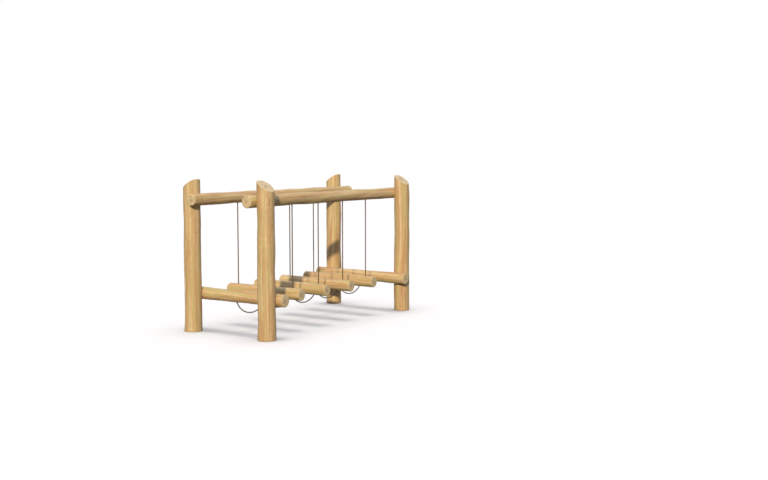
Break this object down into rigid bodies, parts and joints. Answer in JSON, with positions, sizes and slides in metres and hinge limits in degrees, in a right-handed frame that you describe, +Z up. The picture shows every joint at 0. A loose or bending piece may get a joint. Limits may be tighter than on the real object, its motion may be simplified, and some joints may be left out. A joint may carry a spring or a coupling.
{
  "type": "swinging log bridge",
  "caption": "Round-timber playground bridge: hanging logs on ropes between two overhead rails on posts, with fixed cross-logs at the ends and slack rope loops between the logs.",
  "frame": {"origin": "on the ground, in the middle of the four posts", "axes": "+X along the bridge from its near end to its far end, +Y to its left side, +Z up"},
  "size_m": [3.46, 1.6, 2],
  "materials": {
    "timber": "peeled and sanded round hardwood, light golden tan, satin",
    "plug": "cross-cut hardwood plug, pale, sanded flush",
    "hanger_rope": "laid synthetic rope over steel cores, grey-brown, matt",
    "link_rope": "laid synthetic rope over steel cores, grey-green brown, matt",
    "steel": "zinc-plated steel, satin"
  },
  "bodies": {
    "frame": {"post_near_left": "timber", "post_near_right": "timber", "post_far_left": "timber", "post_far_right": "timber", "top_rail_left": "timber", "top_rail_right": "timber", "cross_log_near": "timber", "cross_log_far": "timber", "rail_screw_near_left": "steel", "rail_screw_near_right": "steel", "rail_screw_far_left": "steel", "rail_screw_far_right": "steel", "cross_screw_near_left": "steel", "cross_screw_near_right": "steel", "cross_screw_far_left": "steel", "cross_screw_far_right": "steel", "rail_plug_near_left": "plug", "rail_plug_near_right": "plug", "rail_plug_far_left": "plug", "rail_plug_far_right": "plug", "cross_plug_near_left": "plug", "cross_plug_near_right": "plug", "cross_plug_far_left": "plug", "cross_plug_far_right": "plug", "upper_ferrule_1_left": "steel", "upper_ferrule_1_right": "steel", "upper_ferrule_2_left": "steel", "upper_ferrule_2_right": "steel", "upper_ferrule_3_left": "steel", "upper_ferrule_3_right": "steel", "upper_ferrule_4_left": "steel", "upper_ferrule_4_right": "steel", "link_rope_near_1": "link_rope", "link_rope_1_2": "link_rope", "link_rope_2_3": "link_rope", "link_rope_3_4": "link_rope", "link_rope_4_far": "link_rope"},
    "log_1": {"swing_log_1": "timber", "hanger_rope_1_left": "hanger_rope", "hanger_rope_1_right": "hanger_rope", "lower_ferrule_1_left": "steel", "lower_ferrule_1_right": "steel"},
    "log_2": {"swing_log_2": "timber", "hanger_rope_2_left": "hanger_rope", "hanger_rope_2_right": "hanger_rope", "lower_ferrule_2_left": "steel", "lower_ferrule_2_right": "steel"},
    "log_3": {"swing_log_3": "timber", "hanger_rope_3_left": "hanger_rope", "hanger_rope_3_right": "hanger_rope", "lower_ferrule_3_left": "steel", "lower_ferrule_3_right": "steel"},
    "log_4": {"swing_log_4": "timber", "hanger_rope_4_left": "hanger_rope", "hanger_rope_4_right": "hanger_rope", "lower_ferrule_4_left": "steel", "lower_ferrule_4_right": "steel"}
  },
  "joints": [
    {"name": "log_1_swing", "type": "hinge", "parent": "frame", "child": "log_1", "pos_m": [-0.8346, 0, 1.658], "axis": [0, 1, 0], "range_deg": [-5.5, 5.5], "deforming": ["hanger_rope_1_left", "hanger_rope_1_right", "link_rope_near_1", "link_rope_1_2"]},
    {"name": "log_2_swing", "type": "hinge", "parent": "frame", "child": "log_2", "pos_m": [-0.2782, 0, 1.658], "axis": [0, 1, 0], "range_deg": [-5.5, 5.5], "deforming": ["hanger_rope_2_left", "hanger_rope_2_right", "link_rope_1_2", "link_rope_2_3"]},
    {"name": "log_3_swing", "type": "hinge", "parent": "frame", "child": "log_3", "pos_m": [0.2782, 0, 1.658], "axis": [0, 1, 0], "range_deg": [-5.5, 5.5], "deforming": ["hanger_rope_3_left", "hanger_rope_3_right", "link_rope_2_3", "link_rope_3_4"]},
    {"name": "log_4_swing", "type": "hinge", "parent": "frame", "child": "log_4", "pos_m": [0.8346, 0, 1.658], "axis": [0, 1, 0], "range_deg": [-5.5, 5.5], "deforming": ["hanger_rope_4_left", "hanger_rope_4_right", "link_rope_3_4", "link_rope_4_far"]}
  ]
}
